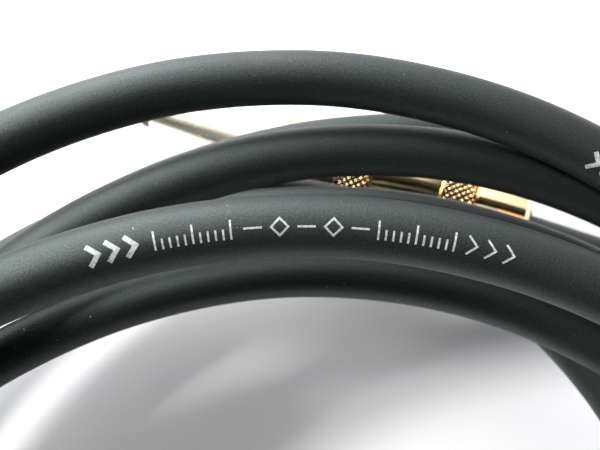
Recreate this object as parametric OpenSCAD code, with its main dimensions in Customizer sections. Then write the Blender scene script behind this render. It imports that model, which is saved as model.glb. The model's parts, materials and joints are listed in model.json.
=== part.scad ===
// Coiled instrument cable with a 6.35 mm mono jack plug on each end.
// The coil rests on z = 0, and x = y = 0 is the middle of its footprint.

/* [Cable] */
// Outside diameter of the cable
cable_d = 6.5; // [6.3:0.1:6.6]
// Wall of the outer jacket
jacket_wall = 0.85; // [0.7:0.05:0.9]
// Thickness of the copper shield
shield_wall = 0.35; // [0.25:0.05:0.4]
// Thickness of the conductive plastic screen that keeps handling noise low
screen_wall = 0.3; // [0.2:0.05:0.35]
// Diameter of the centre conductor
core_d = 1.1; // [0.8:0.1:1.1]
// Free gap between one layer and the next
layer_gap = 0.1; // [0.1:0.01:0.12]

/* [Coil] */
// First and innermost turn: radius, centre x, centre y and height
turn_1 = [64.5, -22, 26.5, 12.4]; // [-30:0.1:110]
// Second and widest turn: radius, centre x, centre y and height
turn_2 = [91.5, 4, 6, 17.8]; // [-30:0.1:110]
// Third turn: radius, centre x, centre y and height
turn_3 = [85.5, -8, 0, 20.7]; // [-30:0.1:110]
// Fourth turn: radius, centre x, centre y and height
turn_4 = [78, -9, -1.5, 22]; // [-30:0.1:110]
// Fifth turn: radius, centre x, centre y and height
turn_5 = [68.5, -1, 22, 30.7]; // [-30:0.1:110]
// Sixth turn: radius, centre x, centre y and height
turn_6 = [72, -11.5, 5.5, 41.8]; // [-30:0.1:110]
// Seventh turn: radius, centre x, centre y and height
turn_7 = [71.5, -13, 26, 36.3]; // [-30:0.1:110]
// How far each turn slopes up to its right side, in degrees
turn_tilt = [2, 0.5, -3, -4.5, -4, -0.5, -0.5]; // [-6:0.5:3]
// How far every turn leans, with its far side higher, in degrees
coil_lean = 4.2; // [4.1:0.1:4.3]
// Where the cable from plug A joins the first turn
tail_a_join = [93, 4, 9.7]; // [0:0.1:100]

/* [Plug places] */
// Plug A: x and y of its rear rim, and the direction that it points in
plug_a_place = [25.5, 87.4, 160]; // [-180:0.5:180]
// Plug B: x and y of its rear rim, and the direction that it points in
plug_b_place = [-3.5, -108, 178]; // [-180:0.5:180]
// Distance from a plug's rear rim to the point where its cable bends
flex_back = 12; // [11:0.5:14]
// Half of the free gap in the cable at that bend
flex_gap = 1.5; // [1.2:0.1:2]
// Straight length of cable that leads to the bend behind plug B
lead_b = 36; // [30:1:40]

/* [Plug shell] */
// Diameter of the screw-on shell
shell_d = 14; // [14:0.1:14.6]
// Length of the screw-on shell
shell_len = 42; // [42:0.5:44]
// Diameter of the waist between the two knurled bands
waist_d = 13.3; // [13:0.1:13.6]
// Width of each knurled band
knurl_w = 5.2; // [4.8:0.1:5.8]
// Number of grooves around a knurled band
knurl_count = 36; // [32:4:48]
// Length of the smooth section behind the rear knurled band
rear_smooth = 9.1; // [8:0.1:9.5]
// Length of the waist
waist_len = 11.8; // [11:0.1:12.2]

/* [Plug contact] */
// Diameter of the contact shaft
shaft_d = 6.35; // [6.3:0.01:6.35]
// Length from the flange's face to the point of the tip
shaft_len = 30.5; // [30:0.1:31]
// Length of the sleeve contact
sleeve_len = 22.4; // [22:0.1:22.6]
// Width of the insulating ring between sleeve and tip
ring_w = 1.4; // [1.2:0.1:1.6]
// Pitch of the shell's screw thread
thread_pitch = 1; // [0.8:0.1:1]

/* [Hidden] */
$fn = 64;

rubber_black = "#2b2e2c";
gold = "#c79a4b";
copper = "#b5653a";
tin = "#a9aba8";

// Extra length of a cutter, so that it passes right through what it cuts
cut = 1;

// Layers of the cable: each has an outside radius and the radius of its bore
jacket_r = cable_d / 2;
jacket_bore = jacket_r - jacket_wall;
cable_gap = 0.05;
shield_r = jacket_bore - layer_gap;
shield_bore = shield_r - shield_wall;
screen_r = shield_bore - layer_gap;
screen_bore = screen_r - screen_wall;
insulation_r = screen_bore - layer_gap;
core_r = core_d / 2;
insulation_bore = core_r + layer_gap;

// Seams between the arcs of a coiled layer
seam_gap = 0.05;
seam_half = 0.15;
seam_step = 0.03;

// Plug, measured along its own axis from the shell's rear rim
shell_r = shell_d / 2;
waist_r = waist_d / 2;
knurl_depth = 0.3;
rear_wall = 2.5;
cavity_r = 5.9;
thread_r = 6;
thread_gap = 0.05;
base_len = 7.6;
base_rear = shell_len - base_len;
flange_w = 1.6;
flange_r = 6.6;
shoulder = shell_len + flange_w;
shaft_r = shaft_d / 2;
sleeve_end = shoulder + sleeve_len;
tip_rear = sleeve_end + ring_w;
tip_end = shoulder + shaft_len;
rod_r = 1.15;
rod_gap = 0.05;
tube_r = 2.25;
plate_w = 0.6;
washer_w = 0.8;
plate_rear = base_rear - plate_w;
washer_rear = plate_rear - washer_w;
lug_rear = washer_rear - plate_w;
rivet_w = 0.7;
grommet_r = 4.1;
grommet_gap = 0.05;

// Where the layers of the cable end inside the plug
jacket_stop = 14;
shield_stop = 17;
screen_stop = 19;
insulation_stop = 22;
core_stop = 28.5;

// Terminals inside the plug
clamp_rear = 8;
clamp_w = 5;
strip_out = 4.9;
strip_width = 3.2;
lug_width = 2.4;
lug_low = 2.1;
lug_tip = 25.5;
solder_tip_at = [0, 1.3, 27.5];
solder_tip_r = 1.5;
solder_ground_at = [0, -3.9, 24.4];
solder_ground_r = 0.95;

// ---- path of the cable ----

function unit(v) = v / norm(v);
function heading(angle) = [cos(angle), sin(angle), 0];

// Turns run from their left side over the far side to their right side
rise = [0, cos(coil_lean), sin(coil_lean)];
turns = [turn_1, turn_2, turn_3, turn_4, turn_5, turn_6, turn_7];
function turn_side(i, side) = [
    turns[i][1] + side * turns[i][0] * cos(turn_tilt[i]),
    turns[i][2],
    turns[i][3] + side * turns[i][0] * sin(turn_tilt[i])
];

aim_a = heading(plug_a_place[2]);
aim_b = heading(plug_b_place[2]);
rim_a = [plug_a_place[0], plug_a_place[1], shell_r];
rim_b = [plug_b_place[0], plug_b_place[1], shell_r];
coil_start = rim_a - (flex_back + flex_gap) * aim_a;
coil_end = rim_b - (flex_back + flex_gap) * aim_b;
lead_b_start = coil_end - lead_b * aim_b;

// Points that the cable passes through, each with its direction there
stations = [
    [coil_start, -aim_a],
    [tail_a_join, -rise],
    for (i = [0 : len(turns) - 1], side = [-1, 1]) [turn_side(i, side), -side * rise],
    [lead_b_start, aim_b]
];

// Two arcs join one station to the next, and touch here
function meeting_point(from, to) =
    let (
        span = to[0] - from[0],
        both = from[1] + to[1],
        spread = 2 * (1 - from[1] * to[1]),
        reach = (sqrt(pow(span * both, 2) + spread * span * span) - span * both) / spread
    )
    (from[0] + to[0] + reach * (from[1] - to[1])) / 2;

// Direction at the far end of an arc that leaves p along t and reaches q
function arc_exit(p, t, q) = let (chord = unit(q - p)) 2 * (t * chord) * chord - t;

// Every arc of the coil: start point, start direction and end point
coil_arcs = [
    for (i = [0 : len(stations) - 2])
        let (
            from = stations[i],
            to = stations[i + 1],
            middle = meeting_point(from, to)
        )
        each [
            [from[0], from[1], middle],
            [middle, arc_exit(from[0], from[1], middle), to[0]]
        ],
    [lead_b_start, aim_b, coil_end]
];

// ---- tools ----

// Puts +Z along a direction, with +X level and +Y upward
module aimed(point, direction) {
    side = unit(cross([0, 0, 1], direction));
    above = cross(direction, side);
    multmatrix([for (i = [0 : 2]) [side[i], above[i], direction[i], point[i]]])
        children();
}

module ring_face(r, bore) {
    difference() {
        circle(r);
        if (bore > 0) circle(bore);
    }
}

// Pipe along +Z, or a solid rod where the bore is 0
module pipe(r, bore, length) {
    linear_extrude(length) ring_face(r, bore);
}

// Pipe along one arc of the coil, cut short by the seam gap at both ends
module arc_pipe(arc, r, bore) {
    chord = arc[2] - arc[0];
    ahead = chord * arc[1];
    sideways = chord - ahead * arc[1];
    if (norm(sideways) < seam_gap) {
        aimed(arc[0] + seam_gap * arc[1], arc[1]) pipe(r, bore, norm(chord) - seam_gap);
    } else {
        inward = unit(sideways);
        bend_r = chord * chord / (2 * norm(sideways));
        sweep = 2 * atan2(norm(sideways), ahead);
        trim = asin(seam_gap / bend_r);
        axis = cross(arc[1], inward);
        centre = arc[0] + bend_r * inward;
        multmatrix([for (i = [0 : 2]) [-inward[i], arc[1][i], axis[i], centre[i]]])
            rotate(trim)
                rotate_extrude(angle = sweep - 2 * trim)
                    translate([bend_r, 0]) ring_face(r, bore);
    }
}

// One layer of the coiled cable: its arcs, with a short collar over each seam
module coiled_layer(r, bore) {
    union() {
        for (arc = coil_arcs) arc_pipe(arc, r, bore);
        for (i = [1 : len(coil_arcs) - 1])
            aimed(coil_arcs[i][0] - seam_half * coil_arcs[i][1], coil_arcs[i][1])
                pipe(r + seam_step, max(0, bore - seam_step), 2 * seam_half);
        aimed(coil_arcs[0][0], coil_arcs[0][1])
            pipe(r - seam_step, bore > 0 ? bore + seam_step : 0, 2 * seam_half);
    }
}

// One layer of the short cable end that stays fixed in a plug
module end_layer(r, bore, stop) {
    translate([0, 0, flex_gap - flex_back])
        pipe(r, bore, stop + flex_back - flex_gap);
}

module on_plug_a() {
    aimed(rim_a, aim_a) children();
}

module on_plug_b() {
    aimed(rim_b, aim_b) children();
}

// ---- cable coil ----

module jacket_coil() {
    color(rubber_black) coiled_layer(jacket_r, jacket_bore);
}

module shield_coil() {
    color(copper) coiled_layer(shield_r, shield_bore);
}

module screen_coil() {
    color("dimgray") coiled_layer(screen_r, screen_bore);
}

module insulation_coil() {
    color("ivory") coiled_layer(insulation_r, insulation_bore);
}

module core_coil() {
    color(copper) coiled_layer(core_r, 0);
}

// ---- cable ends, stripped in steps inside the plug ----

module jacket_end() {
    color(rubber_black) end_layer(jacket_r, jacket_bore, jacket_stop);
}

// The shield's strands are gathered into a tail that reaches the ground strip
module shield_end() {
    tail_r = 0.7;
    tail_root = 1.2;
    tail_lift = 0.3;
    tail_start = [0, -(shield_r + shield_bore) / 2, shield_stop - tail_root];
    tail_stop = solder_ground_at + [0, tail_lift, 0];
    tail = tail_stop - tail_start;
    color(copper)
        union() {
            end_layer(shield_r, shield_bore, shield_stop);
            difference() {
                translate(tail_start)
                    rotate([atan2(-tail[1], tail[2]), 0, 0])
                        cylinder(h = norm(tail), r = tail_r);
                cylinder(h = tail_stop[2], r = shield_bore);
            }
        }
}

module screen_end() {
    color("dimgray") end_layer(screen_r, screen_bore, screen_stop);
}

module insulation_end() {
    color("ivory") end_layer(insulation_r, insulation_bore, insulation_stop);
}

module core_end() {
    color(copper) end_layer(core_r, 0, core_stop);
}

// ---- plug ----

// Threaded base, flange and hollow shaft in one turned piece
module sleeve_contact() {
    groove = 0.35;
    crest = [0.1, 0.4] * thread_pitch;
    root = 0.75 * thread_pitch;
    chamfer = 0.4;
    bore = tube_r + rod_gap;
    turns_of_thread = floor((base_len - 1) / thread_pitch);
    color(gold)
        rotate_extrude()
            polygon([
                [bore, base_rear],
                for (i = [0 : turns_of_thread - 1])
                    let (rear = base_rear + i * thread_pitch)
                    each [
                        [thread_r, rear + crest[0]],
                        [thread_r, rear + crest[1]],
                        [thread_r - groove, rear + root]
                    ],
                [thread_r - groove, shell_len],
                [flange_r, shell_len],
                [flange_r, shoulder - chamfer],
                [flange_r - chamfer, shoulder],
                [shaft_r, shoulder],
                [shaft_r, sleeve_end],
                [bore, sleeve_end]
            ]);
}

// Rod through the middle, riveted at its rear end, with the tip at its front
module tip_contact() {
    rivet_r = 1.9;
    rivet_bevel = 0.3;
    collar_bevel = 0.1;
    collar_len = 1.1;
    neck_r = 2.2;
    neck_rear = tip_rear + 2.5;
    neck_len = 0.3;
    crown_r = 3.05;
    crown_len = 0.5;
    nose_r = 1;
    nose_len = 2.1;
    nose_rear = tip_end - nose_len;
    nose_steps = 6;
    color(gold)
        rotate_extrude()
            polygon([
                [0, lug_rear - rivet_w],
                [rivet_r - rivet_bevel, lug_rear - rivet_w],
                [rivet_r, lug_rear - rivet_w / 2],
                [rivet_r, lug_rear],
                [rod_r, lug_rear],
                [rod_r, tip_rear],
                [shaft_r - collar_bevel, tip_rear],
                [shaft_r, tip_rear + collar_bevel],
                [shaft_r, tip_rear + collar_len],
                [neck_r, neck_rear],
                [neck_r, neck_rear + neck_len],
                [crown_r, nose_rear - crown_len],
                for (i = [0 : nose_steps])
                    let (bow = i * 90 / nose_steps)
                    [nose_r + (crown_r - nose_r) * cos(bow), nose_rear + nose_len * sin(bow)],
                [0, tip_end]
            ]);
}

module tip_ring() {
    recess = 0.05;
    color("black")
        translate([0, 0, sleeve_end])
            pipe(shaft_r - recess, rod_r + rod_gap, ring_w);
}

module rod_insulator() {
    color("white")
        translate([0, 0, base_rear])
            pipe(tube_r, rod_r + rod_gap, sleeve_end - base_rear);
}

module insulating_washer() {
    washer_r = 4.2;
    color("sienna")
        translate([0, 0, washer_rear])
            pipe(washer_r, rod_r + rod_gap, washer_w);
}

// Ring under the rivet, with a flat tongue for the centre conductor
module tip_lug() {
    lug_r = 2.9;
    color(tin)
        difference() {
            union() {
                translate([0, 0, lug_rear]) cylinder(h = plate_w, r = lug_r);
                translate([-lug_width / 2, lug_low, lug_tip])
                    cube([lug_width, plate_w, lug_rear + plate_w - lug_tip]);
            }
            translate([0, 0, lug_tip]) cylinder(h = shell_len, r = rod_r + rod_gap);
        }
}

// Plate against the base, a strip along the inside, and a clamp around the cable
module ground_clamp() {
    clamp_bore = jacket_r + cable_gap;
    clamp_r = clamp_bore + plate_w;
    clamp_front = clamp_rear + clamp_w;
    strip_rear = clamp_front - plate_w;
    plate_gap = 0.15;
    opening = 3.6;
    color(tin)
        difference() {
            union() {
                translate([0, 0, plate_rear]) cylinder(h = plate_w, r = strip_out);
                translate([-strip_width / 2, -strip_out, strip_rear])
                    cube([strip_width, plate_w, base_rear - strip_rear]);
                translate([-strip_width / 2, -strip_out, strip_rear])
                    cube([strip_width, strip_out - clamp_bore, plate_w]);
                translate([0, 0, clamp_rear]) cylinder(h = clamp_w, r = clamp_r);
            }
            translate([0, 0, clamp_rear - cut]) cylinder(h = clamp_w + 2 * cut, r = clamp_bore);
            translate([-opening / 2, 0, clamp_rear - cut])
                cube([opening, shell_r, clamp_w + 2 * cut]);
            translate([0, 0, plate_rear - cut]) cylinder(h = plate_w + 2 * cut, r = tube_r + plate_gap);
        }
}

module tip_solder() {
    color("silver") translate(solder_tip_at) sphere(r = solder_tip_r);
}

module ground_solder() {
    color("silver") translate(solder_ground_at) sphere(r = solder_ground_r);
}

module liner_tube() {
    liner_gap = 0.15;
    liner_r = cavity_r - liner_gap;
    liner_wall = 0.45;
    liner_rear = 4.3;
    liner_front = 33.4;
    color("whitesmoke")
        translate([0, 0, liner_rear])
            pipe(liner_r, liner_r - liner_wall, liner_front - liner_rear);
}

// Band of straight grooves that grips the fingers
module knurl_band(rear) {
    band_root = 0.4;
    band_bore = waist_r - knurl_depth - band_root;
    groove_turn = 180 / knurl_count;
    translate([0, 0, rear])
        linear_extrude(knurl_w)
            difference() {
                polygon([
                    for (i = [0 : 2 * knurl_count - 1])
                        (shell_r - (i % 2) * knurl_depth) * [cos(i * groove_turn), sin(i * groove_turn)]
                ]);
                circle(band_bore);
            }
}

// Hollow shell, with a hole for the cable behind and a thread's bore in front
module shell() {
    chamfer = 0.9;
    front_bevel = 0.7;
    step = 0.3;
    seat_r = waist_r - knurl_depth;
    rear_knurl = rear_smooth;
    waist = rear_knurl + knurl_w;
    front_knurl = waist + waist_len;
    front_smooth = front_knurl + knurl_w;
    bore = grommet_r + grommet_gap;
    mouth_r = thread_r + thread_gap;
    mouth_relief = 0.3;
    mouth_rear = base_rear - mouth_relief;
    color(gold)
        union() {
            rotate_extrude()
                polygon([
                    [bore, 0],
                    [shell_r - chamfer, 0],
                    [shell_r, chamfer],
                    [shell_r, rear_knurl - step],
                    [seat_r, rear_knurl],
                    [seat_r, waist],
                    [waist_r, waist + step],
                    [waist_r, front_knurl - step],
                    [seat_r, front_knurl],
                    [seat_r, front_smooth],
                    [waist_r, front_smooth + step],
                    [waist_r, shell_len - front_bevel],
                    [flange_r - front_bevel / 2, shell_len],
                    [mouth_r, shell_len],
                    [mouth_r, mouth_rear],
                    [cavity_r, mouth_rear],
                    [cavity_r, rear_wall],
                    [bore, rear_wall]
                ]);
            knurl_band(rear_knurl);
            knurl_band(front_knurl);
        }
}

// Rubber grommet that holds itself in the shell's rear hole
module grommet() {
    bore = jacket_r + cable_gap;
    lip = 1;
    lip_r = 4.7;
    lip_bevel = 0.6;
    back_plate_w = 1.4;
    back_plate_r = 5.4;
    color("#202220")
        rotate_extrude()
            polygon([
                [bore, -lip],
                [lip_r - lip_bevel, -lip],
                [lip_r, -lip / 2],
                [lip_r, 0],
                [grommet_r, 0],
                [grommet_r, rear_wall],
                [back_plate_r, rear_wall],
                [back_plate_r, rear_wall + back_plate_w],
                [bore, rear_wall + back_plate_w]
            ]);
}

jacket_coil();
shield_coil();
screen_coil();
insulation_coil();
core_coil();
on_plug_a() jacket_end();  // jacket_end_a
on_plug_a() shield_end();  // shield_end_a
on_plug_a() screen_end();  // screen_end_a
on_plug_a() insulation_end();  // insulation_end_a
on_plug_a() core_end();  // core_end_a
on_plug_a() sleeve_contact();  // sleeve_contact_a
on_plug_a() tip_contact();  // tip_contact_a
on_plug_a() tip_ring();  // tip_ring_a
on_plug_a() rod_insulator();  // rod_insulator_a
on_plug_a() insulating_washer();  // insulating_washer_a
on_plug_a() tip_lug();  // tip_lug_a
on_plug_a() ground_clamp();  // ground_clamp_a
on_plug_a() tip_solder();  // tip_solder_a
on_plug_a() ground_solder();  // ground_solder_a
on_plug_a() liner_tube();  // liner_tube_a
on_plug_a() shell();  // shell_a
on_plug_a() grommet();  // grommet_a
on_plug_b() jacket_end();  // jacket_end_b
on_plug_b() shield_end();  // shield_end_b
on_plug_b() screen_end();  // screen_end_b
on_plug_b() insulation_end();  // insulation_end_b
on_plug_b() core_end();  // core_end_b
on_plug_b() sleeve_contact();  // sleeve_contact_b
on_plug_b() tip_contact();  // tip_contact_b
on_plug_b() tip_ring();  // tip_ring_b
on_plug_b() rod_insulator();  // rod_insulator_b
on_plug_b() insulating_washer();  // insulating_washer_b
on_plug_b() tip_lug();  // tip_lug_b
on_plug_b() ground_clamp();  // ground_clamp_b
on_plug_b() tip_solder();  // tip_solder_b
on_plug_b() ground_solder();  // ground_solder_b
on_plug_b() liner_tube();  // liner_tube_b
on_plug_b() shell();  // shell_b
on_plug_b() grommet();  // grommet_b
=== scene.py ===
"""Looks of the coiled instrument cable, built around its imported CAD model."""
import json
import math

import bmesh
import bpy
import numpy as np
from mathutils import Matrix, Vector


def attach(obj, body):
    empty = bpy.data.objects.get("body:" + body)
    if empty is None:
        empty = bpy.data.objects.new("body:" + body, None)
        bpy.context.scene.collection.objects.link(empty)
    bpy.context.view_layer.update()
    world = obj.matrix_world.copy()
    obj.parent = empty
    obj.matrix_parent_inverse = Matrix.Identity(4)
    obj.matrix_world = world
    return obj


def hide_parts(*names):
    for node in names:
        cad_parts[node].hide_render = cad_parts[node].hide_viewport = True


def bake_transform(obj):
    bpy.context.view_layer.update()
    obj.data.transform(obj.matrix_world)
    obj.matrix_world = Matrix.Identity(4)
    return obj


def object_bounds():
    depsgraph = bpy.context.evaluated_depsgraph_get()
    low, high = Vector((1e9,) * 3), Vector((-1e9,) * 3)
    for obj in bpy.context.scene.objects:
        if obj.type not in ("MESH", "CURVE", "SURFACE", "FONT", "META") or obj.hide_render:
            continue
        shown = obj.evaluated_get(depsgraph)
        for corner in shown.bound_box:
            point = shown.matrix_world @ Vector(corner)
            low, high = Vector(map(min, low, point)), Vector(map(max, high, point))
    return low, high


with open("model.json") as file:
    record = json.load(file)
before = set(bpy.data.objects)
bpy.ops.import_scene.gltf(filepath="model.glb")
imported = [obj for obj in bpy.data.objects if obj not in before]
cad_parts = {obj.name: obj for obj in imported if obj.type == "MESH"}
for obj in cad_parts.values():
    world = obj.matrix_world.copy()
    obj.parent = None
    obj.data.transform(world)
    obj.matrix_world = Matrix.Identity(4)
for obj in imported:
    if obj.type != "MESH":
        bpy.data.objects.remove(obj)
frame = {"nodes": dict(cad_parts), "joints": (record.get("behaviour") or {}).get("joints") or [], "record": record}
cad_low, cad_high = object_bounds()

MM = 0.001
# Lengths (m) and headings that differ by less than this count as the same
TINY = 1e-6

# ---- coil, in the same driving dimensions as the CAD part (mm and degrees) ----

CABLE_R = 3.25
TURNS = [
    # radius, centre x, centre y, height, slope up to the right side
    (64.5, -22.0, 26.5, 12.4, 2.0),
    (91.5, 4.0, 6.0, 17.8, 0.5),
    (85.5, -8.0, 0.0, 20.7, -3.0),
    (78.0, -9.0, -1.5, 22.0, -4.5),
    (68.5, -1.0, 22.0, 30.7, -4.0),
    (72.0, -11.5, 5.5, 41.8, -0.5),
    (71.5, -13.0, 26.0, 36.3, -0.5),
]
COIL_LEAN = math.radians(4.2)
TAIL_A_JOIN = (93.0, 4.0, 9.7)
# Stations on the path before the first turn's left side
LEAD_STATIONS = 3
FLEX_BACK = 12.0
FLEX_GAP = 1.5
LEAD_B = 36.0
JACKET_STOP = 14.0

# How much of the cable behind each plug belongs to its end piece
END_PIECE = 22.0

# ---- jacket mesh and its waviness (mm) ----

PATH_SPACING = 1.4
JACKET_SIDES = 36
JACKET_INSET = 0.02
RIPPLE = 0.022
OVALNESS = 0.012
SWELL = 0.02

# ---- print on the jacket (mm) ----

# The turn whose far side carries the first print, counted from 0
PRINTED_TURN = 5
PRINT_SHIFT = 1.0
PRINT_SPACING = 512.8
# Which print along the cable, and its angle around the jacket in degrees
PRINTS = (
    (-2, 40.0),
    (-1, 250.0),
    (0, 106.0),
    (1, 132.0),
)
INK_TOP = 0.025
INK_DEPTH = 0.03
INK_CELL = 0.5

# ---- plug shell, along its own axis from the rear rim (mm) ----

SHELL_R = 7.0
SHELL_LEN = 42.0
WAIST_R = 6.65
KNURL_W = 5.2
KNURL_DEPTH = 0.45
KNURL_COUNT = 36
REAR_SMOOTH = 9.1
WAIST_LEN = 11.8
SHELL_CHAMFER = 0.9
# How far each edge of the rear chamfer is eased, on its two sides
EDGE_EASE = 0.03
EDGE_RISE = 0.02
REAR_BORE = 4.15
REAR_WALL = 2.5
CAVITY_R = 5.9
THREAD_BORE = 6.05
THREAD_REAR = 34.1
SHELL_SIDES = 432
# Rings across a knurled band, and how many of them ease in at each edge
KNURL_RINGS = 52
KNURL_EASE = 4
# How far the visible surface lies inside the CAD shell: smooth parts, then knurls
SHELL_INSET = 0.01
KNURL_INSET = 0.02
# Narrow groove beside each knurled band: its depth below the waist, and its places
RELIEF_DEPTH = 0.12
RELIEF_START = 0.05
RELIEF_END = 0.3
RELIEF_LIP = 0.35
RELIEF_BEVEL = 0.05
RELIEF_TOP = 0.45
REAR_RELIEF_TOP = 0.5
# Rounded front edge of the shell
LIP_LENGTH = 0.6
LIP_DROP = 0.4
LIP_STEPS = 5


def unit(v):
    return v / np.linalg.norm(v)


def joint(name):
    return next(j for j in frame["joints"] if j["name"] == name)


# ---- plug axes, from the frame ----

class Plug:
    """Axis of one plug: the point on its shell's rear rim, and the way it points."""

    def __init__(self, letter):
        self.letter = letter
        mount = next(
            m for m in frame["record"]["mounts"] if m["name"] == f"plug_{letter}_shaft"
        )
        self.aim = unit(np.array(mount["axis"], float))
        self.pivot = np.array(joint(f"bend_{letter}")["pos_m"], float)
        self.rim = self.pivot + FLEX_BACK * MM * self.aim
        self.side = unit(np.cross((0, 0, 1), self.aim))
        self.above = np.cross(self.aim, self.side)

    def at(self, z_mm):
        """Point on the axis, z_mm ahead of the rear rim."""
        return self.rim + z_mm * MM * self.aim


plug_a = Plug("a")
plug_b = Plug("b")


# ---- path of the cable ----

def turn_side(turn, side):
    radius, x, y, height, tilt = turn
    tilt = math.radians(tilt)
    return MM * np.array([
        x + side * radius * math.cos(tilt),
        y,
        height + side * radius * math.sin(tilt),
    ])


def arc_points(start, heading, end, step):
    """Points along the arc that leaves start along heading and reaches end."""
    chord = end - start
    ahead = chord @ heading
    sideways = chord - ahead * heading
    offset = np.linalg.norm(sideways)
    if offset < TINY:
        count = max(2, int(np.linalg.norm(chord) / step) + 1)
        return start + np.linspace(0, 1, count)[:, None] * chord
    inward = sideways / offset
    radius = chord @ chord / (2 * offset)
    sweep = 2 * math.atan2(offset, ahead)
    count = max(2, int(radius * sweep / step) + 1)
    angle = np.linspace(0, sweep, count)[:, None]
    return start + radius * (inward * (1 - np.cos(angle)) + heading * np.sin(angle))


def biarc_points(here, there, step):
    """Two arcs that join one station, a point with a heading, to the next."""
    start, heading = here
    end, last_heading = there
    span = end - start
    both = heading + last_heading
    spread = 2 * (1 - heading @ last_heading)
    root = math.sqrt((span @ both) ** 2 + spread * (span @ span))
    reach = (root - span @ both) / spread
    middle = (start + end + reach * (heading - last_heading)) / 2
    chord = unit(middle - start)
    middle_heading = 2 * (heading @ chord) * chord - heading
    first = arc_points(start, heading, middle, step)
    second = arc_points(middle, middle_heading, end, step)
    return np.vstack([first, second[1:]])


def cable_stations():
    rise = np.array([0, math.cos(COIL_LEAN), math.sin(COIL_LEAN)])
    stations = [
        (plug_a.at(JACKET_STOP), -plug_a.aim),
        (plug_a.at(-FLEX_BACK - FLEX_GAP), -plug_a.aim),
        (MM * np.array(TAIL_A_JOIN), -rise),
    ]
    for turn in TURNS:
        for side in (-1, 1):
            stations.append((turn_side(turn, side), -side * rise))
    stations.append((plug_b.at(-FLEX_BACK - FLEX_GAP - LEAD_B), plug_b.aim))
    stations.append((plug_b.at(JACKET_STOP), plug_b.aim))
    return stations


def run_between(here, there, step):
    """Points from one station to the next, along a straight line or two arcs."""
    straight = np.linalg.norm(here[1] - there[1]) < TINY
    if straight:
        return arc_points(here[0], here[1], there[0], step)
    return biarc_points(here, there, step)


def travelled_along(points):
    """Length from the first point to each point."""
    steps = np.linalg.norm(np.diff(points, axis=0), axis=1)
    return np.concatenate([[0.0], np.cumsum(steps)])


class CablePath:
    """Centre line of the whole cable, evenly spaced, with a level side vector."""

    FINE = 0.2 * MM
    NUDGE = 0.3 * MM

    def __init__(self, spacing):
        stations = cable_stations()
        runs = []
        self.station_at = [0.0]
        for here, there in zip(stations[:-1], stations[1:]):
            run = run_between(here, there, self.FINE)
            runs.append(run[1:] if runs else run)
            self.station_at.append(self.station_at[-1] + travelled_along(run)[-1])
        self.fine_points = np.vstack(runs)
        self.travelled = travelled_along(self.fine_points)
        self.length = self.travelled[-1]
        self.at_length = np.linspace(0, self.length, int(self.length / spacing) + 1)

    def frame_at(self, lengths):
        """Point, direction, side and above vectors at each length."""
        point = self._point(lengths)
        ahead = self._point(np.minimum(lengths + self.NUDGE, self.length))
        behind = self._point(np.maximum(lengths - self.NUDGE, 0))
        direction = ahead - behind
        direction /= np.linalg.norm(direction, axis=1)[:, None]
        side = np.cross((0.0, 0.0, 1.0), direction)
        side /= np.linalg.norm(side, axis=1)[:, None]
        return point, direction, side, np.cross(direction, side)

    def _point(self, lengths):
        columns = self.fine_points.T
        return np.stack([np.interp(lengths, self.travelled, c) for c in columns], 1)


# ---- mesh tools ----

def new_object(name, vertices, faces):
    mesh = bpy.data.meshes.new(name)
    mesh.from_pydata([tuple(v) for v in vertices], [], faces)
    mesh.validate()
    obj = bpy.data.objects.new(name, mesh)
    bpy.context.scene.collection.objects.link(obj)
    return obj


def smooth(obj, sharp_degrees=40):
    for polygon in obj.data.polygons:
        polygon.use_smooth = True
    obj.data.set_sharp_from_angle(angle=math.radians(sharp_degrees))


def tube_faces(rings, around):
    """Quads between neighbouring rings, and a closing face at each end."""
    ring, place = np.meshgrid(np.arange(rings - 1), np.arange(around), indexing="ij")
    near = ring.ravel() * around
    far = near + around
    place = place.ravel()
    beside = (place + 1) % around
    quads = np.stack([near + place, far + place, far + beside, near + beside], 1)
    faces = [tuple(quad) for quad in quads.tolist()]
    faces.append(tuple(range(around)))
    faces.append(tuple(range(rings * around - 1, (rings - 1) * around - 1, -1)))
    return faces


def add_tube_uv(obj, lengths, around):
    """UV in millimetres: u runs along the cable, v around it."""
    layer = obj.data.uv_layers.new(name="cable_mm")
    turn = 2 * math.pi * CABLE_R
    rings = len(lengths)
    wall = (rings - 1) * around
    for polygon in obj.data.polygons:
        seam = polygon.index % around == around - 1
        for loop in polygon.loop_indices:
            vertex = obj.data.loops[loop].vertex_index
            ring, place = divmod(vertex, around)
            if polygon.index < wall and seam and place == 0:
                place = around
            layer.data[loop].uv = (lengths[ring] / MM, place / around * turn)


# ---- cable jacket ----

def jacket_radius(lengths, angles):
    """Radius of the extruded jacket: round, with the faint waviness of real rubber."""
    along = lengths[:, None] / MM
    angle = angles[None, :]
    # Each divisor is the length of cable (mm) in which that wave moves on by one radian
    ripple = RIPPLE * np.sin(along / 4.1 + 1.3 * np.sin(along / 17)) * np.cos(angle - along / 60)
    oval = OVALNESS * np.sin(2 * angle + along / 7.3)
    swell = SWELL * np.sin(along / 23.0 + 2 * np.sin(along / 71))
    return (CABLE_R - JACKET_INSET + ripple + oval + swell) * MM


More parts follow.
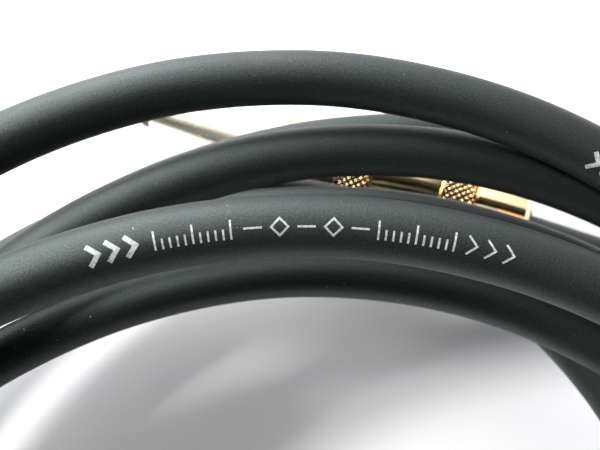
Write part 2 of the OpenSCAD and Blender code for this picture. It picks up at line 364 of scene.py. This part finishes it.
def jacket_piece(name, path, start, end):
    """The stretch of jacket between two lengths along the cable."""
    inside = (path.at_length > start + TINY) & (path.at_length < end - TINY)
    lengths = np.concatenate([[start], path.at_length[inside], [end]])
    angles = np.linspace(0, 2 * math.pi, JACKET_SIDES, endpoint=False)
    point, _, side, above = path.frame_at(lengths)
    radius = jacket_radius(lengths, angles)
    ring = side[:, None, :] * np.cos(angles)[None, :, None]
    ring = ring + above[:, None, :] * np.sin(angles)[None, :, None]
    vertices = point[:, None, :] + radius[:, :, None] * ring
    faces = tube_faces(len(lengths), JACKET_SIDES)
    obj = new_object(name, vertices.reshape(-1, 3), faces)
    add_tube_uv(obj, lengths, JACKET_SIDES)
    smooth(obj)
    return obj


# ---- print on the jacket ----

def stroke_quads(outline, width):
    """Thin band along a polyline in (u, v) millimetres, as one closed quad per segment."""
    quads = []
    for (u0, v0), (u1, v1) in zip(outline[:-1], outline[1:]):
        run = np.array([u1 - u0, v1 - v0], float)
        ahead = run / np.linalg.norm(run)
        across = np.array([-ahead[1], ahead[0]]) * width / 2
        first = np.array([u0, v0]) - ahead * width / 2
        last = np.array([u1, v1]) + ahead * width / 2
        quads.append([first - across, last - across, last + across, first + across])
    return quads


class PrintedRow:
    """A row of plain printed marks (mm), each kept as an outline and a stroke width."""

    HEIGHT = 1.7
    THIN = 0.2
    BOLD = 0.5
    GAP = 1.0
    DASH = 1.6
    TICK_SPACING = 0.75
    TICKS = 11
    LONG_TICK_EVERY = 5
    AFTER_RULER = 0.6
    AFTER_BOLD_ARROWS = 0.8

    def __init__(self):
        self.marks = []
        self.u = 0.0

    def add(self, outline, width, advance):
        self.marks.append(([(self.u + u, v) for u, v in outline], width))
        self.u += advance

    def arrow(self, width):
        half = self.HEIGHT / 2
        self.add([(0, -half), (half, 0), (0, half)], width, half + self.GAP)

    def tick(self, share):
        half = self.HEIGHT / 2
        outline = [(0, -half), (0, -half + share * self.HEIGHT)]
        self.add(outline, self.THIN, self.TICK_SPACING)

    def ruler(self):
        for i in range(self.TICKS):
            self.tick(1 if i % self.LONG_TICK_EVERY == 0 else 0.5)
        self.u += self.AFTER_RULER

    def dash(self):
        self.add([(0, 0), (self.DASH, 0)], self.THIN, self.DASH + self.GAP)

    def diamond(self):
        half = self.HEIGHT / 2
        corners = [(0, 0), (half, half), (self.HEIGHT, 0), (half, -half), (0, 0)]
        self.add(corners, self.THIN, self.HEIGHT + self.GAP)


def printed_row():
    row = PrintedRow()
    for _ in range(3):
        row.arrow(row.BOLD)
    row.u += row.AFTER_BOLD_ARROWS
    row.ruler()
    row.dash()
    row.diamond()
    row.dash()
    row.diamond()
    row.dash()
    row.ruler()
    for _ in range(3):
        row.arrow(row.THIN)
    return row


def ink_box_faces(first, count):
    """Faces of one thin box of ink: two rows of vertices on top, then two underneath."""
    row = count + 1
    top_low, top_high, under_low, under_high = (first + i * row for i in range(4))
    faces = []
    for i in range(count):
        faces.append((top_low + i, top_high + i, top_high + i + 1, top_low + i + 1))
        faces.append((under_low + i, under_low + i + 1, under_high + i + 1, under_high + i))
        faces.append((top_low + i, top_low + i + 1, under_low + i + 1, under_low + i))
        faces.append((top_high + i, under_high + i, under_high + i + 1, top_high + i + 1))
    faces.append((top_low, under_low, under_high, top_high))
    faces.append((top_low + count, top_high + count, under_high + count, under_low + count))
    return faces


def print_piece(name, path, first_centre):
    """Raised ink marks laid on the jacket, once for each of the prints."""
    row = printed_row()
    vertices = []
    faces = []
    for place, degrees in PRINTS:
        centre = first_centre + place * PRINT_SPACING * MM
        quads = [q for outline, width in row.marks for q in stroke_quads(outline, width)]
        for low_start, low_end, high_end, high_start in quads:
            count = max(1, int(np.linalg.norm(low_end - low_start) / INK_CELL))
            share = np.linspace(0, 1, count + 1)[:, None]
            low = low_start + share * (low_end - low_start)
            high = high_start + share * (high_end - high_start)
            uv = np.concatenate([low, high])
            lengths = centre + (uv[:, 0] - row.u / 2) * MM
            turn = math.radians(degrees) - uv[:, 1] / CABLE_R
            point, _, side, above = path.frame_at(lengths)
            radial = side * np.cos(turn)[:, None] + above * np.sin(turn)[:, None]
            skin = np.array([
                jacket_radius(np.array([length]), np.array([angle]))[0, 0]
                for length, angle in zip(lengths, turn)
            ])
            top = point + radial * (skin + INK_TOP * MM)[:, None]
            under = point + radial * (skin - INK_DEPTH * MM)[:, None]
            faces += ink_box_faces(len(vertices), count)
            vertices += list(top) + list(under)
    return new_object(name, vertices, faces)


# ---- plug shell ----

def knurl_height(z, angle):
    """Height of the beaded diamond knurl, from 0 in its grooves to 1 on its beads."""
    lead = KNURL_COUNT / (SHELL_R * 2)
    left = np.abs(np.sin(KNURL_COUNT * angle / 2 + lead * z))
    right = np.abs(np.sin(KNURL_COUNT * angle / 2 - lead * z))
    return left * right


def relief(edge, way, top, bevel_end=RELIEF_TOP):
    """Narrow groove beside a knurled band's edge, before it (way -1) or after it (way 1)."""
    root = WAIST_R - RELIEF_DEPTH
    line = [
        (edge + way * RELIEF_START, root, 0),
        (edge + way * RELIEF_END, root, 0),
        (edge + way * RELIEF_LIP, top - RELIEF_BEVEL, 0),
        (edge + way * bevel_end, top, 0),
    ]
    return line[::way]


def knurled_band(start):
    """Close rings of one knurled band, with the knurl easing in at each edge."""
    line = []
    for i in range(KNURL_RINGS + 1):
        ease = min(1.0, i / KNURL_EASE, (KNURL_RINGS - i) / KNURL_EASE)
        line.append((start + KNURL_W * i / KNURL_RINGS, SHELL_R - KNURL_INSET, ease))
    return line


def shell_profile():
    """Outline as (z, radius, knurl share), down the outside and back up the bore."""
    rear = REAR_SMOOTH
    waist = rear + KNURL_W
    front = waist + WAIST_LEN
    front_end = front + KNURL_W
    flat = SHELL_R - SHELL_CHAMFER
    top = SHELL_R - SHELL_INSET
    line = [
        (0.0, REAR_BORE, 0),
        (0.0, flat - EDGE_EASE, 0),
        (EDGE_EASE, flat + EDGE_RISE, 0),
        (SHELL_CHAMFER - EDGE_EASE, SHELL_R - EDGE_EASE - EDGE_RISE, 0),
        (SHELL_CHAMFER + EDGE_RISE, top, 0),
    ]
    line += relief(rear, -1, top, bevel_end=REAR_RELIEF_TOP)
    line += knurled_band(rear)
    line += relief(waist, 1, WAIST_R)
    line += relief(front, -1, WAIST_R)
    line += knurled_band(front)
    line += relief(front_end, 1, WAIST_R)
    for i in range(LIP_STEPS + 1):
        bow = math.radians(90 * i / LIP_STEPS)
        z = SHELL_LEN - LIP_LENGTH + LIP_LENGTH * math.sin(bow)
        line.append((z, WAIST_R - LIP_DROP * (1 - math.cos(bow)), 0))
    line += [
        (SHELL_LEN, THREAD_BORE, 0),
        (THREAD_REAR, THREAD_BORE, 0),
        (THREAD_REAR, CAVITY_R, 0),
        (REAR_WALL, CAVITY_R, 0),
        (REAR_WALL, REAR_BORE, 0),
    ]
    return line


def lathe_faces(rings, around):
    """Quads of a closed outline turned all the way round."""
    faces = []
    for ring in range(rings):
        near = ring * around
        far = (ring + 1) % rings * around
        for place in range(around):
            beside = (place + 1) % around
            faces.append((near + place, far + place, far + beside, near + beside))
    return faces


def shell_piece(plug):
    """Turned shell with two bands of beaded knurling, as one closed lathe mesh."""
    line = shell_profile()
    angles = np.linspace(0, 2 * math.pi, SHELL_SIDES, endpoint=False)
    z, outline, share = (np.array(column) for column in zip(*line))
    height = knurl_height(z[:, None], angles[None, :])
    on_knurl = share[:, None] > 0
    cut = np.where(on_knurl, KNURL_DEPTH * (1 - height * share[:, None]), 0)
    radius = (outline[:, None] - cut) * MM
    radial = plug.side[None, None, :] * np.cos(angles)[None, :, None]
    radial = radial + plug.above[None, None, :] * np.sin(angles)[None, :, None]
    centre = plug.rim + (z * MM)[:, None] * plug.aim
    vertices = (centre[:, None, :] + radius[:, :, None] * radial).reshape(-1, 3)
    faces = lathe_faces(len(line), SHELL_SIDES)
    obj = new_object(f"knurled_shell_{plug.letter}", vertices, faces)
    # Depth into the knurl: 0 on its beads and off it, 1 at the bottom of its grooves. The gold material uses it to
    # paint shade into the grooves
    groove = obj.data.attributes.new("groove", "FLOAT", "POINT")
    groove.data.foreach_set("value", (cut / KNURL_DEPTH).ravel().astype(np.float32))
    fix_normals(obj)
    smooth(obj, sharp_degrees=35)
    return obj


def fix_normals(obj):
    work = bmesh.new()
    work.from_mesh(obj.data)
    bmesh.ops.recalc_face_normals(work, faces=work.faces)
    work.to_mesh(obj.data)
    work.free()


# ---- materials ----

class Nodes:
    """Short way to add shader nodes and link them."""

    # A Mix node's sockets for colour share their names with its other kinds
    MIX_FACTOR = 0
    MIX_A = 6
    MIX_B = 7
    MIX_RESULT = 2

    def __init__(self, name):
        self.material = bpy.data.materials.new(name)
        self.material.use_nodes = True
        self.tree = self.material.node_tree
        self.shader = self.tree.nodes["Principled BSDF"]

    def add(self, kind, inputs=None, **settings):
        node = self.tree.nodes.new(kind)
        for key, value in settings.items():
            setattr(node, key, value)
        for key, value in (inputs or {}).items():
            self.put(node.inputs[key], value)
        return node

    def put(self, socket, value):
        if isinstance(value, bpy.types.NodeSocket):
            self.tree.links.new(value, socket)
        else:
            socket.default_value = value

    def scaled(self, value, factor, offset=0.0):
        """value x factor + offset; any of them may be a socket."""
        product = self.add("ShaderNodeMath", {0: value, 1: factor}, operation="MULTIPLY")
        if offset == 0.0:
            return product.outputs[0]
        return self.total(product.outputs[0], offset)

    def total(self, a, b):
        return self.add("ShaderNodeMath", {0: a, 1: b}, operation="ADD").outputs[0]

    def noise(self, vector, scale, detail, rough):
        inputs = {"Vector": vector, "Scale": scale, "Detail": detail, "Roughness": rough}
        return self.add("ShaderNodeTexNoise", inputs).outputs["Fac"]

    def stretched(self, vector, scale):
        return self.add("ShaderNodeMapping", {"Vector": vector, "Scale": scale}).outputs[0]

    def ramp(self, factor, low, high):
        inputs = {"Value": factor, "From Min": low, "From Max": high}
        return self.add("ShaderNodeMapRange", inputs).outputs[0]

    def mix(self, factor, a, b):
        node = self.add("ShaderNodeMix", data_type="RGBA")
        self.put(node.inputs[self.MIX_FACTOR], factor)
        self.put(node.inputs[self.MIX_A], a)
        self.put(node.inputs[self.MIX_B], b)
        return node.outputs[self.MIX_RESULT]

    def bump(self, height, strength, distance):
        inputs = {"Height": height, "Strength": strength, "Distance": distance}
        return self.add("ShaderNodeBump", inputs).outputs[0]

    def finish(self, **sockets):
        for key, value in sockets.items():
            self.put(self.shader.inputs[key.replace("_", " ")], value)
        return self.material


def colour(r, g, b):
    return (r, g, b, 1.0)


def rubber_material():
    """Matte black rubber: faint grain across the cable, colour drift and dust specks."""
    n = Nodes("jacket_rubber")
    uv = n.add("ShaderNodeUVMap", uv_map="cable_mm").outputs[0]
    place = n.add("ShaderNodeTexCoord").outputs["Object"]
    black = colour(0.004, 0.005, 0.0046)
    worn_black = colour(0.007, 0.0083, 0.0077)
    grain_grey = colour(0.018, 0.021, 0.0195)
    dust_grey = colour(0.5, 0.5, 0.48)

    grain = n.noise(n.stretched(uv, (5.0, 1.6, 1.0)), 1.0, 4.0, 0.6)
    fine = n.noise(n.stretched(uv, (9.0, 6.0, 1.0)), 1.0, 2.0, 0.6)
    drift = n.noise(place, 45.0, 3.0, 0.6)
    dust = n.ramp(n.noise(place, 2600.0, 1.0, 0.5), 0.80, 0.83)
    smudge = n.noise(place, 160.0, 3.0, 0.6)
    speckle = n.noise(n.stretched(uv, (5.0, 5.0, 1.0)), 1.0, 3.0, 0.7)

    base = n.mix(n.ramp(drift, 0.3, 0.7), black, worn_black)
    base = n.mix(n.scaled(n.ramp(grain, 0.45, 0.75), 0.35), base, grain_grey)
    base = n.mix(n.scaled(dust, 0.75), base, dust_grey)
    height = n.total(n.scaled(grain, 0.5), n.scaled(fine, 0.8))
    return n.finish(
        Base_Color=base,
        Roughness=n.scaled(smudge, 0.14, 0.44),
        Normal=n.bump(height, 0.5, 0.00012),
        Specular_IOR_Level=n.scaled(n.ramp(speckle, 0.3, 0.7), 0.5, 0.3),
        Specular_Tint=colour(0.83, 1.0, 0.95),
    )


def ink_material():
    """Silver-grey ink, slightly broken up where it has rubbed."""
    n = Nodes("print_ink")
    place = n.add("ShaderNodeTexCoord").outputs["Object"]
    wear = n.noise(place, 3200.0, 3.0, 0.7)
    rubbed = colour(0.26, 0.28, 0.27)
    fresh = colour(0.55, 0.57, 0.56)
    return n.finish(
        Base_Color=n.mix(n.ramp(wear, 0.35, 0.6), rubbed, fresh),
        Roughness=n.scaled(wear, 0.3, 0.35),
        Metallic=0.25,
        Normal=n.bump(wear, 0.3, 0.00004),
    )


def gold_material(name, bright, deep, roughness):
    """Gold plating with soft tarnish, fine marks from the lathe, and painted shade darkening the knurl's grooves.
    """
    n = Nodes(name)
    place = n.add("ShaderNodeTexCoord").outputs["Object"]
    groove = n.add("ShaderNodeAttribute", attribute_name="groove").outputs["Fac"]
    # Brown painted into the knurl's grooves as painted shade, strongest where they are deepest
    painted_groove_shade = colour(0.20, 0.11, 0.045)
    tarnish = n.noise(place, 130.0, 4.0, 0.6)
    marks = n.noise(place, 1900.0, 2.0, 0.6)
    base = n.mix(n.ramp(tarnish, 0.35, 0.7), colour(*bright), colour(*deep))
    dull = n.scaled(n.ramp(tarnish, 0.3, 0.8), 0.06, roughness)
    return n.finish(
        Base_Color=n.mix(n.ramp(groove, 0.25, 0.85), base, painted_groove_shade),
        Metallic=1.0,
        Roughness=n.total(dull, n.scaled(marks, 0.03)),
        Normal=n.bump(marks, 0.06, 0.00002),
    )


def plain_material(name, low, high, roughness, metallic=0.0, grain=700.0, bump=0.2):
    """Simple finish for parts inside the plug: two tones, uneven sheen and fine grain."""
    n = Nodes(name)
    place = n.add("ShaderNodeTexCoord").outputs["Object"]
    tone = n.noise(place, grain / 5, 3.0, 0.6)
    fine = n.noise(place, grain, 3.0, 0.6)
    return n.finish(
        Base_Color=n.mix(n.ramp(tone, 0.3, 0.7), colour(*low), colour(*high)),
        Roughness=n.scaled(fine, 0.2, roughness - 0.1),
        Metallic=metallic,
        Normal=n.bump(fine, bump, 0.00005),
    )


def shell_gold():
    return gold_material("gold_plate", (1.0, 0.83, 0.50), (0.96, 0.70, 0.34), 0.05)


def contact_gold():
    return gold_material("pale_gold_plate", (0.99, 0.92, 0.74), (0.97, 0.84, 0.60), 0.24)


def copper():
    low = (0.62, 0.28, 0.15)
    high = (0.80, 0.42, 0.26)
    return plain_material("copper_strand", low, high, 0.35, metallic=1.0, grain=2600.0)


def screen_plastic():
    low = (0.02, 0.02, 0.02)
    high = (0.035, 0.035, 0.035)
    return plain_material("conductive_plastic", low, high, 0.6)


def polythene():
    low = (0.78, 0.77, 0.70)
    high = (0.86, 0.85, 0.80)
    return plain_material("natural_polythene", low, high, 0.4)


def ring_plastic():
    low = (0.012, 0.012, 0.012)
    high = (0.03, 0.03, 0.03)
    return plain_material("ring_plastic", low, high, 0.35)


def laminated_board():
    low = (0.16, 0.07, 0.03)
    high = (0.28, 0.13, 0.06)
    return plain_material("laminated_board", low, high, 0.6)


def tin_plate():
    low = (0.55, 0.56, 0.55)
    high = (0.70, 0.70, 0.68)
    return plain_material("tin_plate", low, high, 0.32, metallic=1.0, grain=1500.0)


def solder():
    low = (0.60, 0.61, 0.62)
    high = (0.74, 0.74, 0.74)
    return plain_material("solder_metal", low, high, 0.28, metallic=1.0, grain=900.0, bump=0.35)


def liner_plastic():
    low = (0.75, 0.75, 0.72)
    high = (0.86, 0.86, 0.84)
    return plain_material("liner_plastic", low, high, 0.45)


def grommet_rubber():
    low = (0.012, 0.013, 0.012)
    high = (0.03, 0.032, 0.03)
    return plain_material("grommet_rubber", low, high, 0.6, grain=1800.0, bump=0.4)


def slot_materials():
    """One material for each of the record's slots."""
    return {
        "jacket": rubber_material(),
        "gold": shell_gold(),
        "copper": copper(),
        "screen": screen_plastic(),
        "insulation": polythene(),
        "tip_ring": ring_plastic(),
        "washer": laminated_board(),
        "tinned_metal": tin_plate(),
        "solder": solder(),
        "liner": liner_plastic(),
        "grommet": grommet_rubber(),
    }


def finish_with(obj, material):
    obj.data.materials.clear()
    obj.data.materials.append(material)


# ---- build ----

def dress_cad_nodes(materials, pale_gold):
    """A material for every CAD node, from its slot in the record."""
    for part in frame["record"]["subparts"]:
        node = frame["nodes"][part["node"]]
        on_contact = "_contact_" in part["node"]
        material = pale_gold if on_contact else materials[part["material_slot"]]
        node.data.materials.clear()
        node.data.materials.append(material)


def build_cable(path, end_a, end_b, rubber):
    """The long stretch of jacket that lies in the coil."""
    cable = jacket_piece("cable_jacket", path, end_a, end_b)
    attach(cable, "coil")
    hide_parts("jacket_coil")
    finish_with(cable, rubber)


def build_cable_end(path, plug, start, end, rubber):
    """The jacket behind one plug."""
    piece = jacket_piece(f"cable_end_{plug.letter}", path, start, end)
    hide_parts(f"jacket_end_{plug.letter}")
    finish_with(piece, rubber)
    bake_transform(piece)


def build_shell(plug, gold):
    shell = shell_piece(plug)
    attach(shell, f"shell_{plug.letter}")
    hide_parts(f"shell_{plug.letter}")
    finish_with(shell, gold)


def print_centre(path):
    """Length along the cable at the middle of the printed turn's far side."""
    left = LEAD_STATIONS + 2 * PRINTED_TURN
    return (path.station_at[left] + path.station_at[left + 1]) / 2 + PRINT_SHIFT * MM


def build_print(path, centre):
    ink = print_piece("print_marks", path, centre)
    fix_normals(ink)
    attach(ink, "coil")
    finish_with(ink, ink_material())


def build():
    """Everything on the part; returns the point that the camera focuses on."""
    materials = slot_materials()
    dress_cad_nodes(materials, contact_gold())
    path = CablePath(PATH_SPACING * MM)
    end_a = (JACKET_STOP + FLEX_BACK + END_PIECE) * MM
    end_b = path.length - end_a
    build_cable(path, end_a, end_b, materials["jacket"])
    for plug, start, end in ((plug_a, 0.0, end_a), (plug_b, end_b, path.length)):
        build_cable_end(path, plug, start, end, materials["jacket"])
        build_shell(plug, materials["gold"])
    centre = print_centre(path)
    build_print(path, centre)
    return Vector(path.frame_at(np.array([centre]))[0][0])


# ---- stage, light and camera ----

LIT_POINT = Vector((0.0, 0.07, 0.02))
FLOOR_HALF = 3.0
FLOOR_GAP = 0.2 * MM
CAMERA_PLACE = MM * Vector((-11.36, 60.4, 107.66))
CAMERA_DOWN = 74.31
CAMERA_YAW = 0.56


def towards(side, height):
    """Unit vector to a side (0 is +X, 90 is +Y) and a height, both in degrees."""
    turn = math.radians(side)
    lift = math.radians(height)
    flat = math.cos(lift)
    return Vector((flat * math.cos(turn), flat * math.sin(turn), math.sin(lift)))


def add_to_scene(name, data):
    obj = bpy.data.objects.new(name, data)
    bpy.context.scene.collection.objects.link(obj)
    return obj


def floor_paper():
    n = Nodes("floor_paper")
    place = n.add("ShaderNodeTexCoord").outputs["Object"]
    tone = n.noise(place, 30.0, 3.0, 0.5)
    base = n.mix(tone, colour(0.80, 0.80, 0.81), colour(0.84, 0.84, 0.84))
    return n.finish(Base_Color=base, Roughness=0.6)


def floor():
    """Plain pale floor just under the coil."""
    corners = [(x * FLOOR_HALF, y * FLOOR_HALF, 0) for x, y in ((-1, -1), (1, -1), (1, 1), (-1, 1))]
    mesh = bpy.data.meshes.new("floor")
    mesh.from_pydata(corners, [], [(0, 1, 2, 3)])
    mesh.materials.append(floor_paper())
    obj = add_to_scene("floor", mesh)
    obj.location.z = cad_low.z - FLOOR_GAP


def softbox(name, side, height, distance, size, power, tint=(1.0, 1.0, 1.0)):
    """Round light aimed at the coil, from a side and a height in degrees."""
    data = bpy.data.lights.new(name, "AREA")
    data.shape = "DISK"
    data.size = size
    data.energy = power
    data.color = tint
    away = towards(side, height)
    obj = add_to_scene(name, data)
    obj.location = LIT_POINT + distance * away
    obj.rotation_euler = (-away).to_track_quat("-Z", "Y").to_euler()


def daylight(side, height, low, high):
    """Sky that is brightest towards one side and dim opposite it."""
    sky = bpy.data.worlds.new("daylight")
    bpy.context.scene.world = sky
    sky.use_nodes = True
    tree = sky.node_tree
    direction = tree.nodes.new("ShaderNodeTexCoord").outputs["Generated"]
    facing = tree.nodes.new("ShaderNodeVectorMath")
    facing.operation = "DOT_PRODUCT"
    tree.links.new(direction, facing.inputs[0])
    facing.inputs[1].default_value = towards(side, height)
    ramp = tree.nodes.new("ShaderNodeMapRange")
    ramp.interpolation_type = "SMOOTHSTEP"
    ramp.inputs["From Min"].default_value = 0.3
    ramp.inputs["From Max"].default_value = 1.0
    ramp.inputs["To Min"].default_value = low
    ramp.inputs["To Max"].default_value = high
    tree.links.new(facing.outputs["Value"], ramp.inputs["Value"])
    back = tree.nodes["Background"]
    back.inputs["Color"].default_value = colour(0.95, 0.96, 1.0)
    tree.links.new(ramp.outputs["Result"], back.inputs["Strength"])


def camera(focus_point):
    """Close above the coil's middle, looking down at its far side."""
    data = bpy.data.cameras.new("camera")
    data.lens = 36.9
    data.sensor_width = 36
    data.clip_start = 0.002
    obj = add_to_scene("camera", data)
    obj.location = CAMERA_PLACE
    obj.rotation_mode = "QUATERNION"
    look = towards(90 - CAMERA_YAW, -CAMERA_DOWN)
    obj.rotation_quaternion = look.to_track_quat("-Z", "Y")
    focus = add_to_scene("focus_point", None)
    focus.location = focus_point
    data.dof.use_dof = True
    data.dof.focus_object = focus
    data.dof.aperture_fstop = 46.0
    bpy.context.scene.camera = obj


print_point = build()
bpy.context.scene.view_settings.view_transform = "Standard"
floor()
daylight(side=115, height=24, low=0.07, high=2.9)
softbox("sun", side=170, height=45, distance=2.0, size=0.35, power=48.0)
softbox("lamp", side=46, height=66, distance=0.5, size=0.13, power=0.07, tint=(1.0, 0.42, 0.14))
softbox("window", side=118, height=26, distance=1.2, size=0.9, power=20.0)
camera(print_point)
